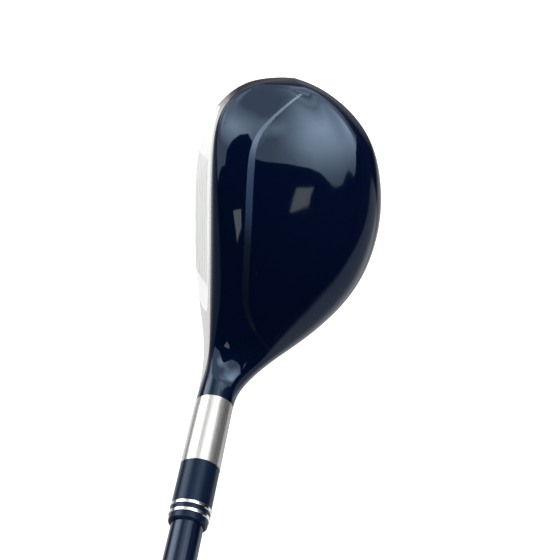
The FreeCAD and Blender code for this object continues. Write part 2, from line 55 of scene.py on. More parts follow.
# ---- the head's outer shape
# The same control slices as the CAD head: y, tilt, topline, leading edge, apex, back, sole,
# the crown's fullness and roll, size of the edges' rounding, and share of the hosel's circle.
HEAD_SECTIONS = (
    (86.2, 0, 15.0, 16.0, 14.5, 13.5, 16.5, 16.5, 19.5, 15.0, 13.0, 2.2, 0.55, 0.12, 0.0),
    (85.5, 0, 11.5, 22.2, 10.0, 9.5, 15.5, 23.3, 20.8, 14.5, 8.5, 2.4, 0.60, 0.5, 0.0),
    (84.4, 0, 4.6, 26.0, 2.0, 6.5, 14.5, 24.8, 27.2, 15.2, 4.8, 1.8, 0.60, 0.8, 0.0),
    (77.0, 0, -2.8, 30.1, -7.8, 4.6, 12.5, 29.8, 38.9, 14.8, 2.4, 1.6, 0.56, 0.9, 0.0),
    (66.0, 0, -3.9, 32.8, -14.7, 3.5, 10.0, 35.2, 47.5, 13.5, 0.9, 1.6, 0.46, 0.9, 0.0),
    (50.0, 0, -3.7, 33.2, -16.7, 3.0, 10.0, 37.0, 51.2, 12.3, 0.25, 1.6, 0.40, 0.9, 0.0),
    (36.0, 0, -3.7, 32.0, -16.5, 3.0, 10.0, 36.4, 51.1, 12.0, 0.25, 2.0, 0.47, 0.9, 0.0),
    (22.0, 0, -3.8, 30.5, -16.1, 3.4, 9.0, 34.8, 47.7, 12.5, 1.0, 2.2, 0.52, 0.9, 0.0),
    (10.0, 0, -4.0, 28.9, -15.0, 4.2, 7.5, 32.6, 40.7, 13.6, 2.0, 2.24, 0.55, 0.9, 0.0),
    (0.0, 4, -4.3, 27.8, -12.4, 5.5, 5.8, 31.0, 30.0, 15.5, 3.8, 2.2, 0.55, 0.9, 0.06),
    (0.0, 18, -4.8, 27.6, -9.4, 8.2, 3.8, 30.5, 22.8, 18.8, 7.8, 2.2, 0.55, 0.9, 0.25),
    (0.0, 33, -5.0, 28.6, -8.3, 11.7, 2.2, 31.2, 17.0, 22.0, 12.2, 2.2, 0.55, 0.9, 0.58),
    (0.0, 47, -5.0, 29.0, -6.2, 15.0, 1.0, 32.0, 9.8, 24.0, 16.0, 2.2, 0.55, 0.9, 0.88),
)
AROUND = 18
PIVOT = 52.0
HOSEL_RADIUS = 6.5
HOSEL_TOP = 68.0
HOSEL_START_ANGLE = 207.5


def between(first, last, share):
    return first + (last - first) * share


def section_points(section):
    """Control points of one slice, as x and z, from the leading edge up the face and round."""
    top_x, top_z, lead_x, lead_z, apex_x, apex_z, back_x, back_z, sole_z = section[2:11]
    full, roll, corner = section[11:14]
    points = [
        (lead_x + 6.0 * corner, sole_z + 0.54 * corner),
        (lead_x + 1.2 * corner, lead_z - 1.2 * corner),
    ]
    for share in (0.10, 0.38, 0.66, 0.93):
        points.append((between(lead_x, top_x, share), between(lead_z, top_z, share)))
    points.append((top_x + 0.6 * corner, top_z + 0.9 * corner))
    front_x = top_x + 3.2 * corner
    rise = (apex_x - front_x) / (apex_x - top_x)
    points.append((front_x, apex_z - (apex_z - top_z) * rise ** 2 * 0.72))
    points.append((between(top_x, apex_x, 0.75), apex_z - (apex_z - top_z) * 0.04))
    for share in (0.38, 0.72):
        fall = (1 - share ** full) ** (1 / full)
        points.append((between(apex_x, back_x, share), between(back_z, apex_z, fall)))
    points.append((between(apex_x, back_x, 0.955), between(back_z, apex_z, roll)))
    points.append((back_x, back_z))
    points.append((back_x - 2.0 * corner, between(back_z, sole_z, 0.62)))
    for share, lift in ((0.14, 0.10), (0.36, 0.0), (0.60, -0.02), (0.82, 0.0)):
        sole_x = between(back_x, lead_x + 6.0 * corner, share)
        points.append((sole_x, between(sole_z, back_z, lift)))
    return np.array(points)


def circle_points():
    """Control points whose closed cubic curve is the hosel's circle."""
    reach = HOSEL_RADIUS * 3 / (2 + math.cos(2 * math.pi / AROUND))
    angle = math.radians(HOSEL_START_ANGLE) - 2 * math.pi * np.arange(AROUND) / AROUND
    centre = PIVOT - PIVOT * math.cos(LIE)
    return np.stack([reach * np.cos(angle), centre + reach * np.sin(angle)], 1)


def place_slice(points, y, fan, along=0.0):
    """Stands a slice up at y, tilted about the fan pivot, and moved on along the shaft line."""
    drop = points[:, 1] - PIVOT
    return np.stack([
        points[:, 0],
        y + math.sin(fan) * drop - math.cos(fan) * along,
        PIVOT + math.cos(fan) * drop + math.sin(fan) * along,
    ], 1)


def control_slices():
    circle = circle_points()
    slices = []
    for section in HEAD_SECTIONS:
        points = between(section_points(section), circle, section[-1])
        slices.append(place_slice(points, section[0], math.radians(section[1])))
    for along in (0.0, 4.0, 12.0, HOSEL_TOP - PIVOT * math.sin(LIE)):
        slices.append(place_slice(circle, 0.0, LIE, along))
    return np.array(slices)


SLICES = control_slices()
LAST_U = float(len(SLICES) - 3)


def clamped_weights(u):
    """The span and the four weights of the clamped cubic spline through the slices."""
    span = np.clip(np.floor(u).astype(int), 0, len(SLICES) - 4)
    weights = [np.ones_like(u)]
    for degree in range(1, 4):
        carried = np.zeros_like(u)
        for step in range(degree):
            right = np.clip(span + step + 1, 0, LAST_U) - u
            left = u - np.clip(span + 1 - degree + step, 0, LAST_U)
            share = weights[step] / (right + left)
            weights[step] = carried + right * share
            carried = left * share
        weights.append(carried)
    return span, weights


def spline(u, v):
    """Points of the outer shape at u, from toe to hosel, and v, round the slice."""
    span, weights_u = clamped_weights(u)
    column = np.floor(v).astype(int)
    f = v - column
    weights_v = (
        (1 - f) ** 3 / 6, (3 * f ** 3 - 6 * f ** 2 + 4) / 6,
        (-3 * f ** 3 + 3 * f ** 2 + 3 * f + 1) / 6, f ** 3 / 6,
    )
    total = np.zeros(u.shape + (3,))
    for i in range(4):
        for j in range(4):
            pole = SLICES[span + i, (column + j - 1) % AROUND]
            total += (weights_u[i] * weights_v[j])[..., None] * pole
    return total


TOE_CENTRE = spline(np.zeros(90), np.linspace(0, AROUND, 90, endpoint=False)).mean(0)


def outer(u, v):
    """The outer shape, with the small flat at the toe for u below zero."""
    points = spline(np.maximum(u, 0.0), v)
    shrink = np.clip(1 + u, 0, 1)[..., None]
    return np.where(u[..., None] < 0, TOE_CENTRE + shrink * (points - TOE_CENTRE), points)


def outer_normal(u, v):
    step = 1e-3
    low, high = np.clip(u - step, 0, LAST_U), np.clip(u + step, 0, LAST_U)
    across = spline(high, v) - spline(low, v)
    round_slice = spline(np.maximum(u, 0), v + step) - spline(np.maximum(u, 0), v - step)
    normal = np.cross(round_slice, across)
    normal /= np.linalg.norm(normal, axis=-1, keepdims=True) + 1e-15
    return np.where(u[..., None] <= 1e-6, np.array([0.0, 1.0, 0.0]), normal)


# ---- lines on the head
TOPLINE_V = 5.42
LEADING_V = 1.0
SKIRT_V = 12.55
PAINT_RING = 44.0  # station on the shaft line where the hosel's paint ends
TOE_PAINT_Y = 79.5
CROWN_FIRST_V = 5.9  # the crown's columns, within which its lines are looked for
CROWN_LAST_V = 12.6
OFF_LINE = 9.0  # value of a field away from its line, too large for snap to take as a crossing


def smooth(x):
    x = np.clip(x, 0, 1)
    return x * x * (3 - 2 * x)


def through(points, steps, closed=False):
    """A smooth line of many points through a few."""
    points = np.array(points, float)
    count = len(points)
    if closed:
        knots = points[np.arange(-1, count + 2) % count]
    else:
        ends = (2 * points[0] - points[1], 2 * points[-1] - points[-2])
        knots = np.vstack([ends[0], points, ends[1]])
    t = np.linspace(0, 1, steps, endpoint=False)[:, None]
    pieces = []
    for a, b, c, d in zip(knots[:-3], knots[1:-2], knots[2:-1], knots[3:]):
        pieces.append(0.5 * (2 * b + (c - a) * t + (2 * a - 5 * b + 4 * c - d) * t ** 2
                             + (3 * b - a - 3 * c + d) * t ** 3))
    line = np.vstack(pieces)
    return line if closed else np.vstack([line, points[-1]])


def nearest(line, x, y, closed=False):
    """Signed distance to a line, and how far along it the nearest point is, from 0 to 1."""
    ends = np.roll(line, -1, 0) if closed else line[1:]
    starts = line if closed else line[:-1]
    step = ends - starts
    length = np.linalg.norm(step, axis=1)
    best = np.full(x.shape, np.inf)
    side = np.ones(x.shape)
    along = np.zeros(x.shape)
    done = np.concatenate([[0.0], np.cumsum(length)])
    for k in range(len(starts)):
        rel_x, rel_y = x - starts[k, 0], y - starts[k, 1]
        share = np.clip((rel_x * step[k, 0] + rel_y * step[k, 1]) / length[k] ** 2, 0, 1)
        off_x, off_y = rel_x - share * step[k, 0], rel_y - share * step[k, 1]
        distance = np.hypot(off_x, off_y)
        nearer = distance < best
        best = np.where(nearer, distance, best)
        turn = step[k, 0] * off_y - step[k, 1] * off_x
        side = np.where(nearer, np.sign(turn), side)
        along = np.where(nearer, done[k] + share * length[k], along)
    return best * side, along / done[-1]


# the raised edge across the crown, from toe to heel in plan, and its half width and drop
RIDGE = through((
    (22.6, 82.6), (19.4, 80.0), (14.5, 75.3), (10.9, 70.6), (9.4, 66.0), (9.0, 59.6), (9.0, 46.0),
    (8.9, 33.5), (8.6, 22.0), (8.7, 14.6), (10.4, 7.5), (13.5, 1.5), (17.0, -4.0),
), 10)
RIDGE_HALF = 1.08
RIDGE_TIP = 0.32
RIDGE_DROP = 0.42
RIDGE_RUNOUT = 17.0
RIDGE_FADES = (24.0, 20.0)  # lengths of its thinning at the toe and at the heel
RIDGE_CUT = 0.004  # share at which its ends are cut off


def ridge_place(x, y):
    """Distance to the ridge's middle, place along it, half width, and share left by its ends."""
    distance, along = nearest(RIDGE, x, y)
    ends = np.minimum(smooth((RIDGE[0, 1] - y) / RIDGE_FADES[0]),
                      smooth((y - RIDGE[-1, 1]) / RIDGE_FADES[1]))
    return distance, along, between(RIDGE_TIP, RIDGE_HALF, ends), ends


CROWN_OUTLINE = through((
    (1.5, 4.0), (0.6, 20.0), (0.6, 48.0), (1.2, 64.0), (6.0, 72.0), (15.0, 75.5), (24.0, 73.0),
    (32.0, 65.5), (38.5, 55.0), (41.0, 44.0), (40.0, 32.0), (35.5, 20.0), (26.0, 9.0), (13.0, 2.0),
), 8, True)
FACE_OUTLINE = through((
    (76.0, 18.0), (73.0, 28.5), (62.0, 32.0), (36.0, 31.6), (10.0, 27.6), (5.5, 23.0),
    (5.5, 12.0), (11.0, 7.6), (36.0, 5.8), (60.0, 6.4), (71.0, 9.2),
), 8, True)
FACE_FOOT = np.array([-16.7, 0.0, 3.0])
FACE_SLOPE = np.array([13.0, 0.0, 30.2]) / math.hypot(13.0, 30.2)
GROOVES = 8.5 + 3.0 * np.arange(7)
GROOVE_WIDTH = 0.8
GROOVE_DEPTH = 0.25
GROOVE_WALL = 0.14
GROOVE_ENDS = (16.0, 60.0)
GROOVE_RUNOUT = 0.6
BADGE_CENTRE = (16.0, 39.0)
BADGE_HALF = (6.0, 17.0)
BADGE_CORNER = 5.5
PORT = np.array([41.4, 43.0, 3.75])
PORT_OUT = np.array([math.cos(math.radians(68)), 0.0, -math.sin(math.radians(68))])
PORT_RADIUS = 7.6


def up_face(points):
    return (points - FACE_FOOT) @ FACE_SLOPE + 3.0


def turn_v(v):
    """v with its jump moved to the middle of the sole, from -4 to 14."""
    return np.mod(v + 4.0, AROUND) - 4.0


def topline_v(u):
    """Where the bare face side meets the paint: it drops down the neck's front."""
    return TOPLINE_V - 2.7 * smooth((u - 8.2) / 3.6)


def bare_field(u, v):
    """Below zero on the bare steel of the face side and the sole."""
    points = outer(u, v)
    v = np.mod(v - SKIRT_V, AROUND)
    top = np.mod(topline_v(u) - SKIRT_V, AROUND)
    beyond_toe = (points[..., 1] - TOE_PAINT_Y) / 3.0
    inside = np.minimum(np.minimum(v, top - v), -beyond_toe)
    past_seam = np.where(v > (top + AROUND) / 2, AROUND - v, -1.0)
    return np.where(past_seam > 0, past_seam, -inside)


def ring_field(u, v):
    return PAINT_RING - outer(u, v) @ AXIS


def ridge_edge(u, v, side):
    """Zero on the ridge's front edge for a side of 1, and on its back edge for -1."""
    points = outer(u, v)
    distance, _, half, ends = ridge_place(points[..., 0], points[..., 1])
    v = turn_v(v)
    near = (v > CROWN_FIRST_V) & (v < 12.5) & (ends > RIDGE_CUT)
    return np.where(near, distance + side * half, OFF_LINE)


def ridge_inside(u, v):
    points = outer(u, v)
    distance, along, half, _ = ridge_place(points[..., 0], points[..., 1])
    between_ends = (along > RIDGE_CUT) & (along < 1 - RIDGE_CUT)
    return (abs(distance) < half) & between_ends & (turn_v(v) > CROWN_FIRST_V)


def crown_field(u, v):
    points = outer(u, v)
    distance, _ = nearest(CROWN_OUTLINE, points[..., 0], points[..., 1], True)
    v = turn_v(v)
    near = (v > CROWN_FIRST_V) & (v < 12.3) & (u > 1.0)
    return np.where(near, distance * CROWN_SIDE, OFF_LINE)


def face_field(u, v):
    points = outer(u, v)
    distance, _ = nearest(FACE_OUTLINE, points[..., 1], up_face(points), True)
    v = turn_v(v)
    return np.where((v > 0.6) & (v < 6.0), distance * FACE_SIDE, OFF_LINE)


def badge_field(u, v):
    points = outer(u, v)
    over_x = abs(points[..., 0] - BADGE_CENTRE[0]) - BADGE_HALF[0] + BADGE_CORNER
    over_y = abs(points[..., 1] - BADGE_CENTRE[1]) - BADGE_HALF[1] + BADGE_CORNER
    reach = np.hypot(np.maximum(over_x, 0), np.maximum(over_y, 0))
    distance = reach + np.minimum(np.maximum(over_x, over_y), 0) - BADGE_CORNER
    v = turn_v(v)
    return np.where((v < 0.8) | (v > 13.0), distance, OFF_LINE)


def port_distance(points):
    rel = points - PORT
    return np.linalg.norm(rel - (rel @ PORT_OUT)[..., None] * PORT_OUT, axis=-1)


def port_field(u, v):
    distance = port_distance(outer(u, v)) - PORT_RADIUS
    v = np.mod(v, AROUND)
    return np.where((v > 11.9) & (v < 17.0), distance, OFF_LINE)


def inward(line, x, y):
    """The sign that makes the distance to a closed line negative at a point inside it."""
    return -1.0 if nearest(line, np.array([x]), np.array([y]), True)[0][0] > 0 else 1.0


CROWN_SIDE = inward(CROWN_OUTLINE, 20.0, 40.0)
FACE_SIDE = inward(FACE_OUTLINE, 40.0, 18.0)


def sunk(u, v, points):
    """How far the finished surface lies under the plain outer shape."""
    turned = turn_v(v)
    distance, _, half, ends = ridge_place(points[..., 0], points[..., 1])
    ramp = np.clip((distance + half) / (2 * half), 0, 1)
    runout = 1 - smooth((distance - half) / RIDGE_RUNOUT)
    on_crown = (turned > CROWN_FIRST_V) & (turned < CROWN_LAST_V)
    depth = np.where(on_crown, RIDGE_DROP * ends * ramp * runout, 0.0)
    up = up_face(points)
    y = points[..., 1]
    share_y = np.clip(np.minimum(y - GROOVE_ENDS[0], GROOVE_ENDS[1] - y) / GROOVE_RUNOUT, 0, 1)
    on_face = (turned > 1.0) & (turned < 5.7)
    for low in GROOVES:
        off = abs(up - low - GROOVE_WIDTH / 2)
        wall = np.clip((GROOVE_WIDTH / 2 - off) / GROOVE_WALL, 0, 1)
        depth = np.where(on_face, depth + GROOVE_DEPTH * wall * share_y, depth)
    return depth


def finished(u, v):
    """The outer shape with the ridge's fall and the grooves taken off."""
    plain = outer(u, v)
    return plain - outer_normal(u, v) * sunk(u, v, plain)[..., None]


def surface_normals(u, v):
    step = 1e-3
    across = finished(u + step, v) - finished(u - step, v)
    round_slice = finished(u, v + step) - finished(u, v - step)
    normal = np.cross(round_slice, across)
    return normal / (np.linalg.norm(normal, axis=-1, keepdims=True) + 1e-15)


# ---- the head's grid
def u_lines():
    """Rows from toe to hosel, about 0.9 mm apart where they are widest, with the grooves' ends."""
    fine = np.linspace(0, LAST_U, 3000)
    v = np.arange(0, AROUND, 1.5)
    points = spline(fine[:, None] + 0 * v, v + 0 * fine[:, None])
    step = np.linalg.norm(np.diff(points, axis=0), axis=-1).max(1)
    length = np.concatenate([[0.0], np.cumsum(step)])
    kept = list(np.interp(np.arange(0, length[-1], 0.85), length, fine))
    y = points[:, 3, 1]
    for end, inner in ((GROOVE_ENDS[0], GROOVE_RUNOUT), (GROOVE_ENDS[1], -GROOVE_RUNOUT)):
        pair = np.interp([-end, -(end + inner)], -y[:2200], fine[:2200])
        kept = [row for row in kept if min(abs(row - pair)) > 0.035] + list(pair)
    return np.sort(np.concatenate([[-0.85, -0.6, -0.35, -0.15], kept, [LAST_U]]))


def v_lines(rows):
    """Columns round the head, following the grooves where they run."""
    sole = np.linspace(SKIRT_V - AROUND, LEADING_V, 56, endpoint=False)
    crown = np.concatenate([
        np.linspace(TOPLINE_V, 7.6, 16, endpoint=False), np.linspace(7.6, 11.0, 48, endpoint=False),
        np.linspace(11.0, SKIRT_V, 22, endpoint=False),
    ])
    heights = []
    for low in GROOVES:
        heights += [low, low + 0.14, low + 0.66, low + 0.8, low + 1.9]
    heights = np.array([5.6, 7.1] + heights + [29.2, 30.4, 31.4])
    fine = np.linspace(LEADING_V, TOPLINE_V, 240)
    grid_u = np.maximum(rows, 0)[:, None] + 0 * fine
    points = spline(grid_u, fine + 0 * grid_u)
    up = up_face(points)
    middle = np.argmin(abs(points[:, 100, 1] - 40.0))
    even = np.interp(heights, up[middle], fine)
    columns = []
    for row in range(len(rows)):
        y = points[row, 100, 1]
        level = np.interp(heights, up[row], fine)
        share = smooth((y - 4.0) / 9.0) * smooth((72.0 - y) / 9.0)
        face = between(even, level, share)
        columns.append(np.concatenate([
            sole, [LEADING_V, between(LEADING_V, face[0], 0.5)],
            face, [between(face[-1], TOPLINE_V, 0.5)], crown,
        ]))
    return np.array(columns)


WIDEST_CROSSING = 7.0  # largest change of a field along one edge of the grid


def snap(u, v, field, pinned):
    """Moves the nearest grid points onto the line where the field is zero."""
    value = field(u, v)
    value[abs(value) < 1e-7] = 0.0
    index = np.arange(u.size).reshape(u.shape)
    a, b = np.concatenate([
        np.stack([index[:-1], index[1:]], -1).reshape(-1, 2),
        np.stack([index, np.roll(index, -1, 1)], -1).reshape(-1, 2),
    ]).T
    u, v, value, pinned = u.reshape(-1), v.reshape(-1), value.reshape(-1), pinned.reshape(-1)
    crossing = (value[a] * value[b] < 0) & (abs(value[a] - value[b]) < WIDEST_CROSSING)
    a, b = a[crossing], b[crossing]
    wrap = np.where(v[b] < v[a] - AROUND / 2, AROUND, 0)
    low, high = np.zeros(len(a)), np.ones(len(a))
    at_low, at_high = value[a].copy(), value[b].copy()
    share = at_low / (at_low - at_high)
    for _ in range(4):
        here = field(between(u[a], u[b], share), between(v[a], v[b] + wrap, share))
        same = here * at_low > 0
        low, at_low = np.where(same, share, low), np.where(same, here, at_low)
        high, at_high = np.where(same, high, share), np.where(same, at_high, here)
        share = between(low, high, np.clip(at_low / (at_low - at_high + 1e-30), 0.02, 0.98))
    for k in np.argsort(np.minimum(share, 1 - share), kind="stable"):
        i, j = a[k], b[k]
        if value[i] == 0 or value[j] == 0:
            continue
        near = i if share[k] < 0.5 else j
        if pinned[near]:
            near = j if near == i else i
        if pinned[near]:
            continue
        new_v = between(v[i], v[j] + wrap[k], share[k])
        u[near] = between(u[i], u[j], share[k])
        v[near] = new_v - (wrap[k] if near == j else 0)
        value[near] = 0.0
        pinned[near] = True


def grid_faces(u, v, fields):
    """Quads of the grid, split in two where a line runs from corner to corner."""
    rows, columns = u.shape
    index = np.arange(rows * columns).reshape(rows, columns)
    right = np.roll(index, -1, 1)
    quads = np.stack([index[:-1], right[:-1], right[1:], index[1:]], -1).reshape(-1, 4)
    first = np.zeros(len(quads), bool)
    second = np.zeros(len(quads), bool)
    for field in fields:
        value = field(u, v).reshape(-1)
        value[abs(value) < 2e-3] = 0.0
        c = value[quads]
        first |= (c[:, 0] == 0) & (c[:, 2] == 0) & (c[:, 1] * c[:, 3] < 0)
        second |= (c[:, 1] == 0) & (c[:, 3] == 0) & (c[:, 0] * c[:, 2] < 0)
    second &= ~first
    whole = quads[~first & ~second]
    none = np.full(len(quads), -1)
    halves = []
    for mask, one, two in ((first, (0, 1, 2), (0, 2, 3)), (second, (0, 1, 3), (1, 2, 3))):
        for corners in (one, two):
            halves.append(np.column_stack([quads[mask][:, list(corners)], none[mask]]))
    toe = u.size
    fan = np.column_stack([np.full(columns, toe), right[0], index[0], none[:columns]])
    return np.vstack([whole] + halves + [fan])


# ---- meshes
def face_normals(points, faces):
    """Area normals of faces given as four corners, the last of them -1 in a triangle."""
    third = points[faces[:, 2]]
    fourth = np.where(faces[:, 3:] >= 0, points[faces[:, 3]], third)
    return np.cross(third - points[faces[:, 0]], fourth - points[faces[:, 1]]) / 2


SHARP_TURN = math.cos(math.radians(32))
MOST_NEIGHBOURS = 24


def corner_normals(points, faces):
    """A normal for each corner of each face, shared with the faces that turn by less."""
    area = face_normals(points, faces)
    unit = area / (np.linalg.norm(area, axis=1, keepdims=True) + 1e-15)
    corners = np.argwhere(faces >= 0)
    vertex = faces[corners[:, 0], corners[:, 1]]
    order = np.argsort(vertex, kind="stable")
    start = np.searchsorted(vertex[order], np.arange(len(points) + 1))
    most = int(np.diff(start).max())
    total = np.zeros((len(corners), 3))
    for k in range(min(most, MOST_NEIGHBOURS)):
        spot = start[vertex] + k
        real = spot < start[vertex + 1]
        other = corners[order[np.minimum(spot, len(order) - 1)], 0]
        close = (unit[corners[:, 0]] * unit[other]).sum(1) > SHARP_TURN
        total += np.where((real & close)[:, None], area[other], 0)
    total /= np.linalg.norm(total, axis=1, keepdims=True) + 1e-15
    result = np.zeros(faces.shape + (3,))
    result[corners[:, 0], corners[:, 1]] = total
    return result


def make_piece(name, points, faces, normals, material, body, slot, stands_for):
    """A mesh object of its own, riding on a CAD body."""
    mesh = bpy.data.meshes.new(name)
    loops = [[int(i) for i in face if i >= 0] for face in faces]
    mesh.from_pydata([tuple(p) for p in np.asarray(points) * MM], [], loops)
    flat = [tuple(n) for face, per in zip(faces, normals) for i, n in zip(face, per) if i >= 0]
    mesh.polygons.foreach_set("use_smooth", [True] * len(mesh.polygons))
    mesh.normals_split_custom_set(flat)
    mesh.materials.append(material)
    mesh.update()
    obj = bpy.data.objects.new(name, mesh)
    bpy.context.scene.collection.objects.link(obj)
    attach(obj, body)
    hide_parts(*stands_for)


def turned_over(faces, values):
    """Values at the corners of faces, in the order in which they face the other way."""
    quad = (faces[:, 3] >= 0).reshape((-1,) + (1,) * (values.ndim - 1))
    return np.where(quad, values[:, [3, 2, 1, 0]], values[:, [2, 1, 0, 3]])


def closed_shell(points, faces, normals, chosen, depth, deepen):
    """The chosen faces with an inner skin and walls between, as a closed sheet of metal."""
    faces, normals = faces[chosen], normals[chosen]
    used = np.unique(faces[faces >= 0])
    renumber = np.full(len(points) + 1, -1)
    renumber[used] = np.arange(len(used))
    faces = renumber[faces]
    outside = points[used]
    average = np.zeros_like(outside)
    for corner in range(4):
        real = faces[:, corner] >= 0
        np.add.at(average, faces[real, corner], normals[real, corner])
    average /= np.linalg.norm(average, axis=1, keepdims=True) + 1e-15
    inside = deepen(outside, outside - average * depth)
    count = len(used)
    inner = np.where(faces >= 0, faces + count, -1)
    edges = {}  # a dict keeps the order in which they are met
    for face in faces:
        ring = [int(i) for i in face if i >= 0]
        for a, b in zip(ring, ring[1:] + ring[:1]):
            edges[(a, b)] = True
    rims = [(b, a, a + count, b + count) for a, b in edges if (b, a) not in edges]
    all_points = np.vstack([outside, inside])
    rims = np.array(rims, int).reshape(-1, 4)
    wall = face_normals(all_points, rims)
    wall /= np.linalg.norm(wall, axis=1, keepdims=True) + 1e-15
    all_normals = np.concatenate([normals, -turned_over(faces, normals),
                                  np.repeat(wall[:, None], 4, 1)])
    return all_points, np.vstack([faces, turned_over(faces, inner), rims]), all_normals


def rounded(profile, turns=4):
    """A profile of (radius, height, fillet) corners with each corner turned into an arc."""
    points = np.array([corner[:2] for corner in profile], float)
    result = []
    for k, corner in enumerate(profile):
        fillet = corner[2] if len(corner) > 2 else 0.0
        here = points[k]
        if fillet <= 0 or k in (0, len(profile) - 1):
            result.append(here)
            continue
        back, on = points[k - 1] - here, points[k + 1] - here
        back /= np.linalg.norm(back)
        on /= np.linalg.norm(on)
        half = math.acos(np.clip(back @ on, -1, 1)) / 2
        reach = fillet / math.tan(half)
        first, last = here + back * reach, here + on * reach
        for t in np.linspace(0, 1, turns + 1):
            result.append((1 - t) ** 2 * first + 2 * t * (1 - t) * here + t * t * last)
    return np.array(result)


def turned_mesh(profile, axes, origin, around, radius_of=None, closed=True):
    """Turns a profile about an axis. radius_of may reshape each ring by its angle."""
    profile = np.asarray(profile, float)
    angle = 2 * math.pi * np.arange(around) / around
    radius = np.repeat(profile[:, :1], around, 1)
    if radius_of is not None:
        radius = radius_of(radius, profile[:, 1:2] + 0 * radius, angle[None, :] + 0 * radius)
    local = np.stack([radius * np.cos(angle), radius * np.sin(angle),
                      np.repeat(profile[:, 1:2], around, 1)], -1)
    points = local.reshape(-1, 3) @ axes.T + origin
    rows = len(profile)
    index = np.arange(rows * around).reshape(rows, around)
    low, high = (index, np.roll(index, -1, 0)) if closed else (index[:-1], index[1:])
    faces = np.stack([low, np.roll(low, -1, 1), np.roll(high, -1, 1), high], -1).reshape(-1, 4)
    return points, faces, corner_normals(points, faces)


def capped(points, faces, around, centres):
    """Closes the first and last rings with fans, for a piece without a bore."""
    caps = []
    for centre, ring in enumerate((0, len(points) - around)):
        for k in range(around):
            pair = (ring + k, ring + (k + 1) % around)
            pair = pair if ring else pair[::-1]
            caps.append((len(points) + centre, *pair, -1))
    points = np.vstack([points, centres])
    faces = np.vstack([faces, caps])
    return points, faces, corner_normals(points, faces)


# ---- materials
class Shader:
    """A small helper that wires one Principled surface."""

    def __init__(self, name, color, metallic, roughness, **sockets):
        self.material = bpy.data.materials.new(name)
        self.material.use_nodes = True
        self.tree = self.material.node_tree
        self.surface = self.tree.nodes["Principled BSDF"]
        self.surface.inputs["Base Color"].default_value = (*color, 1)
        self.surface.inputs["Metallic"].default_value = metallic
        self.surface.inputs["Roughness"].default_value = roughness
        for key, value in sockets.items():
            self.surface.inputs[key.replace("_", " ")].default_value = value
        self.place = self.add("ShaderNodeTexCoord").outputs["Object"]
        self.height = None

    def add(self, kind):
        return self.tree.nodes.new(kind)

    def link(self, source, target):
        self.tree.links.new(source, target)

    def stretched(self, scale, tilt=0.0):
        mapping = self.add("ShaderNodeMapping")
        turn = self.add("ShaderNodeMapping")
        turn.inputs["Rotation"].default_value = (tilt, 0, 0)
        mapping.inputs["Scale"].default_value = scale
        self.link(self.place, turn.inputs["Vector"])
        self.link(turn.outputs["Vector"], mapping.inputs["Vector"])
        return mapping.outputs["Vector"]

    def noise(self, scale, detail=3.0, vector=None, rough=0.55):
        node = self.add("ShaderNodeTexNoise")
        node.inputs["Scale"].default_value = scale
        node.inputs["Detail"].default_value = detail
        node.inputs["Roughness"].default_value = rough
        self.link(vector or self.place, node.inputs["Vector"])
        return node.outputs["Fac"]

    def ramp(self, source, stops, target):
        node = self.add("ShaderNodeValToRGB")
        elements = node.color_ramp.elements
        while len(elements) < len(stops):
            elements.new(0.5)
        for element, (place, value) in zip(elements, stops):
            element.position = place
            element.color = (value, value, value, 1) if isinstance(value, float) else (*value, 1)
        self.link(source, node.inputs["Fac"])
        self.link(node.outputs["Color"], self.surface.inputs[target])

    def bump(self, source, strength, distance):
        node = self.add("ShaderNodeBump")
        node.inputs["Strength"].default_value = strength
        node.inputs["Distance"].default_value = distance
        self.link(source, node.inputs["Height"])
        if self.height is not None:
            self.link(self.height, node.inputs["Normal"])
        self.height = node.outputs["Normal"]
        self.link(self.height, self.surface.inputs["Normal"])


GLOSS_TINT = (0.55, 0.75, 1.0, 1.0)
# Colours of the ridge along Y, from heel to toe: their rise in brightness towards the toe is a
# painted highlight on the crown's blue paint.
RIDGE_HIGHLIGHT_SHADES = [
    (0.20, (0.001, 0.004, 0.012)), (0.42, (0.003, 0.008, 0.020)), (0.58, (0.018, 0.034, 0.076)),
    (0.72, (0.030, 0.046, 0.084)), (0.86, (0.066, 0.083, 0.118)), (0.96, (0.110, 0.136, 0.178)),
]


def gloss_paint(name, dark, light, roughness, peel, ior=1.5):
    shader = Shader(name, dark, 0.0, roughness, IOR=ior, Specular_Tint=GLOSS_TINT)
    shader.ramp(shader.noise(5200, 1.0), [(0.52, dark), (0.74, light)], "Base Color")
    shader.ramp(shader.noise(60, 2.0), [(0.3, roughness), (0.8, roughness + 0.02)], "Roughness")
    shader.bump(shader.noise(330, 1.0), peel, 0.00004)
    return shader.material


def ridge_paint_and_highlight():
    """Crown blue on the ridge's bevel, with a painted highlight that brightens it to a pale
    silver-blue towards the toe and sinks back into the crown's blue towards the heel.
    """
    shader = Shader("ridge_paint_and_highlight_look", (0.02, 0.04, 0.08), 0.0, 0.24, IOR=1.5,
                    Specular_Tint=GLOSS_TINT)
    split = shader.add("ShaderNodeSeparateXYZ")
    shader.link(shader.place, split.inputs["Vector"])
    spread = shader.add("ShaderNodeMapRange")
    spread.inputs["From Min"].default_value = 0.0
    spread.inputs["From Max"].default_value = 0.085
    shader.link(split.outputs["Y"], spread.inputs["Value"])
    # painted highlight: the ridge's colour is ramped along Y, lighter towards the toe
    shader.ramp(spread.outputs["Result"], RIDGE_HIGHLIGHT_SHADES, "Base Color")
    shader.ramp(shader.noise(60, 2.0), [(0.3, 0.22), (0.8, 0.27)], "Roughness")
    shader.bump(shader.noise(900, 1.0), 0.01, 0.00002)
    return shader.material


